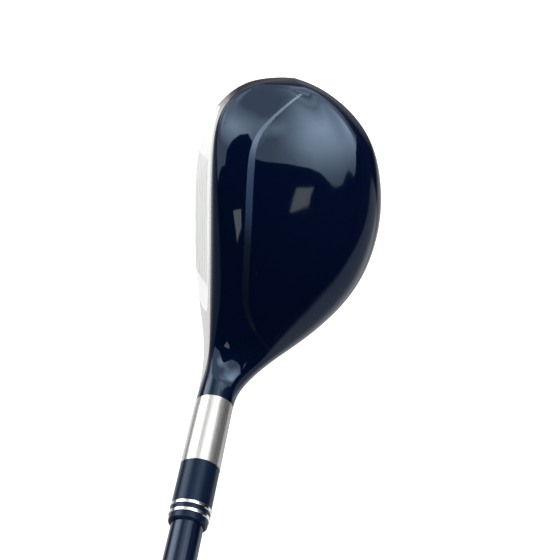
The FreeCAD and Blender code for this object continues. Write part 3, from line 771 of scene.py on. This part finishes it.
def brushed(name, color, roughness, scale, tilt, depth, spread=0.12, metallic=1.0):
    shader = Shader(name, color, metallic, roughness)
    lines = shader.noise(1.0, 4.0, shader.stretched(scale, tilt), 0.65)
    shade = [tuple(c * f for c in color) for f in (0.84, 1.0)]
    shader.ramp(lines, [(0.25, shade[0]), (0.65, shade[1])], "Base Color")
    shader.ramp(shader.noise(1.0, 3.0, shader.stretched([s * 0.5 for s in scale], tilt)),
                [(0.2, roughness - spread / 2), (0.8, roughness + spread / 2)], "Roughness")
    shader.bump(lines, depth, 0.00006)
    return shader.material


def plain_speckle(name, color, metallic, roughness, scale, depth):
    shader = Shader(name, color, metallic, roughness)
    source = shader.noise(scale, 3.0)
    shade = [tuple(min(1, c * f) for c in color) for f in (1 - 0.15, 1 + 0.15)]
    shader.ramp(source, [(0.3, shade[0]), (0.7, shade[1])], "Base Color")
    shader.ramp(shader.noise(scale * 0.2, 2.0),
                [(0.3, roughness - 0.05), (0.7, roughness + 0.05)], "Roughness")
    shader.bump(source, depth, 0.00008)
    return shader.material


def lacquered_shaft():
    """Graphite under lacquer: a faint spiral of fibre bands in a dark blue."""
    shader = Shader("shaft_lacquer_look", (0.0012, 0.003, 0.011), 0.0, 0.12, IOR=1.5,
                    Specular_Tint=GLOSS_TINT)
    fibres = shader.noise(1.0, 2.0, shader.stretched((900, 900, 120), TILT))
    shader.ramp(fibres, [(0.35, (0.0008, 0.0022, 0.009)), (0.75, (0.0024, 0.0058, 0.018))],
                "Base Color")
    shader.ramp(shader.noise(90, 2.0), [(0.3, 0.10), (0.8, 0.15)], "Roughness")
    shader.bump(shader.noise(420, 1.0), 0.05, 0.00003)
    return shader.material


def rubber():
    shader = Shader("grip_rubber_look", (0.018, 0.018, 0.020), 0.0, 0.72, IOR=1.48)
    weave = shader.noise(1.0, 2.0, shader.stretched((2600, 2600, 1500), TILT))
    shader.ramp(shader.noise(70, 3.0),
                [(0.3, (0.014, 0.014, 0.016)), (0.8, (0.030, 0.030, 0.033))], "Base Color")
    shader.ramp(weave, [(0.3, 0.62), (0.8, 0.82)], "Roughness")
    shader.bump(weave, 0.5, 0.00012)
    return shader.material


TILT = -math.radians(30)  # turns a texture's height onto the shaft line
PAINT = gloss_paint("head_paint_look", (0.0005, 0.0024, 0.0125), (0.001, 0.0045, 0.020),
                    0.035, 0.004)
RIDGE_PAINT_AND_HIGHLIGHT = ridge_paint_and_highlight()
BARE = brushed("casting_steel_look", (0.62, 0.62, 0.61), 0.26, (2600, 2600, 42), TILT, 0.35,
               metallic=0.9)
FACE = brushed("face_steel_look", (0.94, 0.96, 0.95), 0.38, (2400, 36, 2400), 0.0, 0.25,
               metallic=0.3)
BADGE = brushed("badge_metal_look", (0.36, 0.37, 0.40), 0.30, (60, 1800, 60), 0.0, 0.3)
WEIGHT = plain_speckle("weight_metal_look", (0.30, 0.31, 0.33), 1.0, 0.32, 900, 0.15)
SCREW = plain_speckle("screw_steel_look", (0.055, 0.055, 0.060), 1.0, 0.38, 1500, 0.2)
SHAFT = lacquered_shaft()
FERRULE = gloss_paint("ferrule_look", (0.0018, 0.0055, 0.018), (0.003, 0.0085, 0.025),
                      0.24, 0.02, 1.33)
RING = brushed("ring_metal_look", (0.86, 0.87, 0.88), 0.14, (50, 50, 6000), TILT, 0.12, 0.06)
RUBBER = rubber()
HIDDEN = {
    "sole_weight_slab": ("tungsten_look", (0.30, 0.30, 0.31), 1.0, 0.5, 2500, 0.5),
    "hot_melt": ("hot_melt_look", (0.62, 0.52, 0.28), 0.0, 0.45, 160, 0.6),
    "threaded_insert": ("insert_steel_look", (0.55, 0.55, 0.55), 1.0, 0.35, 1200, 0.2),
    "screw_retaining_washer": ("washer_plastic_look", (0.70, 0.70, 0.67), 0.0, 0.4, 700, 0.1),
    "hosel_plug": ("plug_rubber_look", (0.03, 0.03, 0.03), 0.0, 0.8, 900, 0.5),
    "epoxy_sleeve": ("epoxy_look", (0.50, 0.42, 0.22), 0.0, 0.25, 240, 0.3),
    "tip_plug": ("tip_brass_look", (0.62, 0.44, 0.16), 1.0, 0.32, 1300, 0.2),
    "grip_tape": ("tape_paper_look", (0.72, 0.68, 0.56), 0.0, 0.85, 1600, 0.5),
}
for node, look in HIDDEN.items():
    data = frame["nodes"][node].data
    data.materials.clear()
    data.materials.append(plain_speckle(*look))

# ---- head pieces
FIELDS = (
    bare_field, ring_field, port_field,
    lambda u, v: ridge_edge(u, v, 1), lambda u, v: ridge_edge(u, v, -1),
    face_field, crown_field, badge_field,
)
rows = u_lines()
head_v = v_lines(rows)
head_u = np.repeat(rows[:, None], head_v.shape[1], 1)
pinned = np.zeros(head_u.shape, bool)
pinned[:4] = True  # the rows of the flat at the toe
for field in FIELDS:
    snap(head_u, head_v, field, pinned)
faces = grid_faces(head_u, head_v, FIELDS)
faces = turned_over(faces, faces)  # to face outwards
points = np.vstack([finished(head_u, head_v).reshape(-1, 3), TOE_CENTRE])
flat_u = np.append(head_u.reshape(-1), -1.0)
flat_v = np.append(head_v.reshape(-1), 0.0)
mask = faces >= 0
corner_count = mask.sum(1)
mid_u = np.where(mask, flat_u[faces], 0).sum(1) / corner_count
first_v = flat_v[faces[:, 1]][:, None]
near_v = flat_v[faces] + AROUND * np.round((first_v - flat_v[faces]) / AROUND)
mid_v = np.where(mask, near_v, 0).sum(1) / corner_count

# each corner takes the surface's own normal just inside its face, so edges stay crisp
normals = corner_normals(points, faces)
TOWARDS_CORNER = 0.85
corner_u = between(mid_u[:, None], flat_u[faces], TOWARDS_CORNER)
corner_v = between(mid_v[:, None], near_v, TOWARDS_CORNER)
exact = surface_normals(np.clip(corner_u, 0.01, LAST_U - 0.01), corner_v)
exact *= np.where((exact * normals).sum(-1, keepdims=True) < 0, -1.0, 1.0)
on_shape = mask & (corner_u > 0.02)  # the flat at the toe keeps its faces' normals
normals = np.where(on_shape[..., None], exact, normals)
on_toe = (faces == len(points) - 1).any(1)
is_bare = ((bare_field(mid_u, mid_v) < 0) & ~on_toe) | (ring_field(mid_u, mid_v) < 0)
is_face = (face_field(mid_u, mid_v) < 0) & is_bare
is_port = port_field(mid_u, mid_v) < 0
is_ridge = ridge_inside(mid_u, mid_v) & ~is_bare & (np.mod(mid_v, AROUND) < CROWN_LAST_V)
is_crown = (crown_field(mid_u, mid_v) < 0) & ~is_ridge & ~is_bare
is_badge = (badge_field(mid_u, mid_v) < 0) & ~is_port & is_bare
is_bare &= ~is_face & ~is_port & ~is_badge
is_paint = ~is_bare & ~is_face & ~is_port & ~is_ridge & ~is_crown & ~is_badge
SKIN = 0.7
PORT_DEPTH = 4.9


def port_wall(outside, inside):
    """Runs the port's wall down past the weight."""
    on_rim = abs(port_distance(outside) - PORT_RADIUS) < 0.02
    on_rim &= (outside - PORT) @ PORT_OUT > -4.0
    depth = (outside - PORT) @ PORT_OUT + PORT_DEPTH
    return np.where(on_rim[:, None], outside - depth[:, None] * PORT_OUT, inside)


def head_piece(name, chosen, material, slot, stands_for):
    shell = closed_shell(points, faces, normals, chosen, SKIN, port_wall)
    return make_piece(name, *shell, material, "head", slot, stands_for)


head_piece("casting_painted", is_paint, PAINT, "head_paint", ["body_casting"])
head_piece("casting_bare", is_bare, BARE, "casting_steel", ["body_casting"])
head_piece("crown_skin", is_crown, PAINT, "head_paint", ["crown_plate"])
# the ridge's paint carries a painted highlight, lighter towards the toe
head_piece("crown_ridge", is_ridge, RIDGE_PAINT_AND_HIGHLIGHT, "head_paint", ["crown_plate"])
head_piece("face_insert", is_face, FACE, "face_steel", ["face_plate"])
head_piece("sole_badge_plate", is_badge, BADGE, "badge_metal", ["sole_badge"])

# ---- rear weight and its screw
# columns: across the head, along it, and out of the port
axes = np.array([np.cross((0.0, 1.0, 0.0), PORT_OUT), (0.0, 1.0, 0.0), PORT_OUT]).T
disc = rounded([
    (2.8, -3.6), (3.8, -3.6), (3.8, -4.4), (7.5, -4.4, 0.2), (7.5, 0.0, 0.55), (5.6, 0.0, 0.1),
    (5.45, -0.18, 0.05), (5.3, 0.0, 0.1), (4.2, 0.0, 0.2), (4.2, -2.5), (2.8, -2.5),
])
make_piece("back_weight_disc", *turned_mesh(disc, axes, PORT, 120), WEIGHT, "back_weight",
           "weight_metal", ["back_weight"])


SOCKET_HALF = 1.75
THREAD = (2.5, 2.12)  # radius of crests and roots
PITCH = 0.8
TURNS = 11
SCREW_END = -12.0
SOCKET_END = -1.5
SCREW_AROUND = 96


def screw_radius(radius, height, angle):
    """Rings of negative radius, in the head's socket, take the shape of a hexagon."""
    hexagon = SOCKET_HALF / np.cos(np.mod(angle, math.pi / 3) - math.pi / 6)
    return np.where(radius < 0, hexagon * -radius, radius)


screw = [(0.9, SCREW_END), (2.0, SCREW_END)]
for turn in range(TURNS):
    screw += [(THREAD[0], -11.4 + PITCH * turn), (THREAD[1], -11.0 + PITCH * turn)]
screw += [(THREAD[0], -2.55), (THREAD[0], -2.4), (4.1, -2.4)]
screw += [tuple(p) for p in rounded([(4.1, -2.4), (4.1, 0.0, 0.5), (2.6, 0.0)])[1:]]
screw += [(-1.06, 0.0), (-1.0, -0.08), (-1.0, SOCKET_END), (-0.5, SOCKET_END)]
mesh = turned_mesh(screw, axes, PORT, SCREW_AROUND, screw_radius, False)
mesh = capped(*mesh[:2], SCREW_AROUND, [axes[:, 2] * h + PORT for h in (SCREW_END, SOCKET_END)])
make_piece("weight_screw_body", *mesh, SCREW, "weight_screw", "screw_steel", ["weight_screw"])

# ---- ferrule
# columns: from face to back, across, and along the shaft
axes = np.array([(1.0, 0.0, 0.0), (0.0, math.sin(LIE), math.cos(LIE)), AXIS]).T
BORE = 5.12
FERRULE_END = 88.0


def on_shaft(name, profile, material, slot, nodes, around=128, radius_of=None):
    """A piece turned about the shaft line, with heights measured along it from the ground."""
    mesh = turned_mesh(profile, axes, np.zeros(3), around, radius_of)
    make_piece(name, *mesh, material, "head", slot, nodes)


BLACK = (FERRULE, "ferrule_black")
BRIGHT = (RING, "ring_metal")
for name, node, look, profile in (
    ("ferrule_lower", "ferrule_body", BLACK, [
        (HOSEL_TOP,), (6.45, HOSEL_TOP, 0.12), (6.4, 82.0, 0.1), (82.0,)]),
    ("ferrule_ring_lower", "trim_ring_lower", BRIGHT, [
        (82.0,), (6.4, 82.0), (6.6, 82.2, 0.12), (6.6, 83.05, 0.12), (6.4, 83.25), (83.25,)]),
    ("ferrule_spacer", "trim_spacer", BLACK, [
        (83.25,), (6.4, 83.25, 0.08), (6.3, 84.5, 0.08), (84.5,)]),
    ("ferrule_ring_upper", "trim_ring_upper", BRIGHT, [
        (84.5,), (6.3, 84.5), (6.5, 84.7, 0.12), (6.5, 85.55, 0.12), (6.3, 85.75), (85.75,)]),
    ("ferrule_top", "ferrule_collar", BLACK, [
        (85.75,), (6.22, 85.75, 0.08), (6.22, 87.4, 0.4), (5.7, FERRULE_END, 0.2), (FERRULE_END,)]),
):
    # a lone height is a corner on the bore
    profile = [corner if len(corner) > 1 else (BORE, *corner) for corner in profile]
    on_shaft(name, rounded(profile), *look, [node])

# ---- shaft
SHAFT_TIP = 35.0
GRIP_START = 745.0
BUTT_END = 1005.0
heights = [FERRULE_END, *np.arange(120.0, GRIP_START, 25.0), GRIP_START]
tube = [(2.5, SHAFT_TIP), (4.7, SHAFT_TIP), (4.7, 66.5), (5.1, HOSEL_TOP)]
tube += [(5.1 + 1.8 * (h - FERRULE_END) / (GRIP_START - FERRULE_END), h) for h in heights]
tube += [(7.6, BUTT_END), (6.4, BUTT_END), (2.5, 52.0)]
on_shaft("shaft_tube", tube, SHAFT, "shaft_lacquer", ["shaft"])

# ---- grip
GRIP_LINE = ((GRIP_START, 8.7), (860.0, 10.2), (985.0, 12.6), (BUTT_END, 12.8))
CAP_END = 1010.0
PATTERN = (768.0, 982.0)
PATTERN_STEP = 4.0
PATTERN_AROUND = 24
LINE_HALF = 0.16  # as a share of the pattern's step
LINE_DEPTH = 0.28


def grip_radius(radius, height, angle):
    """Shallow crossing grooves, which fade out at both ends of the pattern."""
    fade = smooth((height - PATTERN[0]) / 3.0) * smooth((PATTERN[1] - height) / 3.0)
    around = angle / (2 * math.pi) * PATTERN_AROUND
    along = (height - PATTERN[0]) / PATTERN_STEP
    lines = np.minimum(abs(np.mod(along / 2 + around, 1) - 0.5),
                       abs(np.mod(along / 2 - around, 1) - 0.5))
    cut = smooth((LINE_HALF - lines) / LINE_HALF) * LINE_DEPTH
    outside = (radius > 8.3) & (height > 746)
    return radius - np.where(outside, fade * cut, 0)


sleeve = [
    (7.05, GRIP_START), (7.3, GRIP_START), (7.5, GRIP_START), (8.2, 745.15), (8.55, 745.6),
    (8.7, 746.2), (8.72, 748.0),
]
for h in (*np.arange(752.0, PATTERN[0] - 1, 6.0), *np.arange(PATTERN[0], PATTERN[1] + 0.1)):
    sleeve.append((np.interp(h, *zip(*GRIP_LINE)), h))
sleeve += [
    (12.62, 988.0), (12.7, 994.0), (12.78, 1002.0), (12.6, 1004.8), (12.3, BUTT_END),
    (7.75, BUTT_END),
]
on_shaft("grip_sleeve_rubber", sleeve, RUBBER, "grip_rubber", ["grip_sleeve"], 144, grip_radius)
on_shaft("grip_cap_rubber", rounded([
    (1.6, BUTT_END), (12.8, BUTT_END, 0.2), (14.0, 1006.2, 0.7), (14.0, 1008.8, 0.9),
    (12.8, CAP_END, 0.5), (9.0, CAP_END, 0.2), (8.7, 1009.6, 0.2), (8.4, CAP_END, 0.2),
    (2.2, CAP_END, 0.2), (1.6, 1009.4, 0.1),
]), RUBBER, "grip_rubber", ["grip_cap"])

# ---- floor, light and camera
PANEL_HEIGHT = 2.0
FLOOR_HALF = 8.0
DOME_RADIUS = 11.0
DOME_STEP = 8  # degrees between its rows, which start below the floor's edge
DOME_ROWS = 13
DOME_AROUND = 48


def stage_object(name, points, faces, look):
    mesh = bpy.data.meshes.new(name)
    mesh.from_pydata(points, [], faces)
    mesh.materials.append(look)
    obj = bpy.data.objects.new(name, mesh)
    bpy.context.scene.collection.objects.link(obj)
    return obj


def emission(name, color, strength):
    look = bpy.data.materials.new(name + "_look")
    look.use_nodes = True
    tree = look.node_tree
    tree.nodes.remove(tree.nodes["Principled BSDF"])
    light = tree.nodes.new("ShaderNodeEmission")
    light.inputs["Color"].default_value = (*color, 1)
    light.inputs["Strength"].default_value = strength
    tree.links.new(light.outputs["Emission"], tree.nodes["Material Output"].inputs["Surface"])
    return look, tree, light


def panel(name, outline, color, strength, glows=()):
    """A flat light overhead; glows are soft brighter spots as (x, y, reach, strength)."""
    look, tree, light = emission(name, color, strength)
    place = tree.nodes.new("ShaderNodeTexCoord").outputs["Object"]
    total = None
    for x, y, reach, peak in glows:
        shift = tree.nodes.new("ShaderNodeMapping")
        shift.inputs["Location"].default_value = (-x / reach, -y / reach, -PANEL_HEIGHT / reach)
        shift.inputs["Scale"].default_value = (1 / reach, 1 / reach, 1 / reach)
        tree.links.new(place, shift.inputs["Vector"])
        ball = tree.nodes.new("ShaderNodeTexGradient")
        ball.gradient_type = "SPHERICAL"
        tree.links.new(shift.outputs["Vector"], ball.inputs["Vector"])
        add = tree.nodes.new("ShaderNodeMath")
        add.operation = "MULTIPLY_ADD"
        add.inputs[1].default_value = peak
        add.inputs[2].default_value = strength
        tree.links.new(ball.outputs["Fac"], add.inputs[0])
        if total is not None:
            tree.links.new(total, add.inputs[2])
        total = add.outputs[0]
    if total is not None:
        tree.links.new(total, light.inputs["Strength"])
    corners = [(x, y, PANEL_HEIGHT) for x, y in outline]
    stage_object(name, corners, [list(range(len(corners)))], look).visible_camera = False


def floor():
    """A pale floor, which the gloss of the club doesn't mirror."""
    signs = ((-1, -1), (1, -1), (1, 1), (-1, 1))
    corners = [(x * FLOOR_HALF, y * FLOOR_HALF, 0) for x, y in signs]
    look = bpy.data.materials.new("floor_look")
    look.use_nodes = True
    surface = look.node_tree.nodes["Principled BSDF"]
    surface.inputs["Base Color"].default_value = (0.15, 0.15, 0.15, 1)
    surface.inputs["Roughness"].default_value = 0.9
    surface.inputs["Emission Color"].default_value = (1, 1, 1, 1)
    surface.inputs["Emission Strength"].default_value = 1.2
    stage_object("floor", corners, [(0, 1, 2, 3)], look).visible_glossy = False


def backdrop():
    """A plain pale dome that only the camera sees, behind the club at every other angle."""
    points, sheets = [], []
    for row in range(DOME_ROWS):
        level = math.radians(DOME_STEP * (row - 1))
        for k in range(DOME_AROUND):
            angle = 2 * math.pi * k / DOME_AROUND
            points.append((DOME_RADIUS * math.cos(level) * math.cos(angle),
                           DOME_RADIUS * math.cos(level) * math.sin(angle),
                           DOME_RADIUS * math.sin(level)))
    for row in range(DOME_ROWS - 1):
        for k in range(DOME_AROUND):
            left, right = row * DOME_AROUND + k, row * DOME_AROUND + (k + 1) % DOME_AROUND
            sheets.append((left, right, right + DOME_AROUND, left + DOME_AROUND))
    obj = stage_object("backdrop", points, sheets, emission("backdrop", [0.95] * 3, 1.0)[0])
    for ray in ("diffuse", "glossy", "transmission", "shadow"):
        setattr(obj, "visible_" + ray, False)


# Brightness of the studio's walls by direction, in degrees from +X towards +Y.
WALLS = (
    (-180, 0.3), (-150, 0.25), (-90, 0.1), (-60, 0.02), (20, 0.02), (44, 0.22), (56, 0.9),
    (64, 2.0), (71, 3.6), (80, 2.2), (92, 1.5), (103, 0.7), (112, 0.6), (120, 1.6), (130, 5.0),
    (150, 5.4), (160, 2.2), (167, 0.3), (180, 0.3),
)
BRIGHTEST_WALL = 6.0
# Round pale cards far off: direction, cosines where each starts and is full, brightness.
CARDS = (
    ((0.736, -0.663, -0.139), 0.74, 0.80, 0.65),
    ((0.30, -0.70, -0.65), 0.70, 0.80, 0.45),
    ((0.60, 0.77, 0.22), 0.96, 0.985, 2.0),
    ((-0.55, -0.35, -0.75), 0.86, 0.93, 0.85),
    ((0.10, 0.62, -0.78), 0.72, 0.92, 0.25),
)
DARK = 0.012


def world():
    """Dark overhead, walls that vary all round, and pale cards low down in front and behind."""
    scene = bpy.context.scene
    scene.world = bpy.data.worlds.new("studio")
    scene.world.use_nodes = True
    tree = scene.world.node_tree
    place = tree.nodes.new("ShaderNodeTexCoord").outputs["Generated"]
    split = tree.nodes.new("ShaderNodeSeparateXYZ")
    tree.links.new(place, split.inputs["Vector"])

    def math_node(operation, first, second):
        node = tree.nodes.new("ShaderNodeMath")
        node.operation = operation
        for socket, value in zip(node.inputs, (first, second)):
            if isinstance(value, (int, float)):
                socket.default_value = value
            else:
                tree.links.new(value, socket)
        return node.outputs[0]

    def soft_step(value, start, end, peak=1.0):
        node = tree.nodes.new("ShaderNodeMapRange")
        node.interpolation_type = "SMOOTHSTEP"
        node.inputs["From Min"].default_value = start
        node.inputs["From Max"].default_value = end
        node.inputs["To Max"].default_value = peak
        tree.links.new(value, node.inputs["Value"])
        return node.outputs["Result"]

    def card(direction, start, end, peak):
        node = tree.nodes.new("ShaderNodeVectorMath")
        node.operation = "DOT_PRODUCT"
        node.inputs[1].default_value = Vector(direction).normalized()
        tree.links.new(place, node.inputs[0])
        return soft_step(node.outputs["Value"], start, end, peak)

    turn = tree.nodes.new("ShaderNodeTexGradient")
    turn.gradient_type = "RADIAL"
    tree.links.new(place, turn.inputs["Vector"])
    ramp = tree.nodes.new("ShaderNodeValToRGB")
    elements = ramp.color_ramp.elements
    while len(elements) < len(WALLS):
        elements.new(0.5)
    for element, (degrees, value) in zip(elements, WALLS):
        element.position = degrees / 360 + 0.5
        element.color = (*[value / BRIGHTEST_WALL] * 3, 1)
    tree.links.new(turn.outputs["Fac"], ramp.inputs["Fac"])
    up = split.outputs["Z"]
    walls = math_node("MULTIPLY", ramp.outputs["Color"],
                      soft_step(up, -0.42, -0.30, BRIGHTEST_WALL))
    walls = math_node("MULTIPLY", walls, soft_step(up, 0.56, 0.50))
    low_front = math_node("MULTIPLY", soft_step(split.outputs["X"], -0.12, -0.45),
                          soft_step(up, 0.02, -0.05, 0.13))
    total = math_node("ADD", walls, low_front)
    for place_and_size in CARDS:
        total = math_node("ADD", total, card(*place_and_size))
    total = math_node("ADD", total, DARK)
    tree.links.new(total, tree.nodes["Background"].inputs["Strength"])
    tree.nodes["Background"].inputs["Color"].default_value = (1, 1, 1, 1)


floor()
backdrop()
world()
panel("light_panel", [
    (2.07, 0.04), (2.14, 0.03), (2.18, 0.09), (2.20, 0.26), (2.34, 0.60), (3.10, 1.20),
    (4.6, 2.1), (9.0, 4.6), (9.0, 8.0), (-6.2, 5.0), (-2.28, -0.44), (-1.68, -0.16),
    (-1.08, 0.14), (-0.84, 0.54), (-0.58, 0.90), (-0.32, 1.18), (-0.10, 1.26), (0.02, 0.96),
    (0.12, 0.50), (0.42, 0.44), (0.76, 0.40), (1.16, 0.34), (1.43, 0.31), (1.62, 0.27),
    (1.74, 0.24), (1.85, 0.18), (1.92, 0.13), (2.00, 0.08),
], (1.0, 1.0, 1.0), 1.6, [
    (2.1, 1.8, 1.7, 7.4), (1.5, 0.8, 1.0, 1.8), (2.2, 4.2, 2.2, 2.6), (-0.5, 1.4, 0.9, 5.0),
    (0.45, 1.62, 0.45, 2.0),
])
WARM = (1.0, 0.80, 0.62)
panel("panel_back", [(1.12, 0.0), (1.56, 0.04), (1.36, -0.08), (0.88, -0.24)], WARM, 2.6)
panel("panel_front", [(-0.74, -0.54), (-0.34, -0.44), (-0.40, -0.70), (-0.64, -0.92)], WARM, 3.0)

camera = bpy.data.cameras.new("camera")
camera.lens = 54.643
camera.sensor_width = 36.0
camera.clip_start = 0.01
camera.clip_end = 50.0
view = bpy.data.objects.new("camera", camera)
bpy.context.scene.collection.objects.link(view)
EYE = (0.049013, 0.113172, 0.294143)
RIGHT = (0.99044776, 0.050427, -0.12833688)
UP = (-0.08889041, 0.94502227, -0.31469255)
BACK = (0.10541221, 0.32309445, 0.94047767)
turn = Matrix((RIGHT, UP, BACK)).transposed()
view.matrix_world = Matrix.Translation(EYE) @ turn.to_4x4()
bpy.context.scene.camera = view
bpy.context.scene.view_settings.view_transform = "Standard"
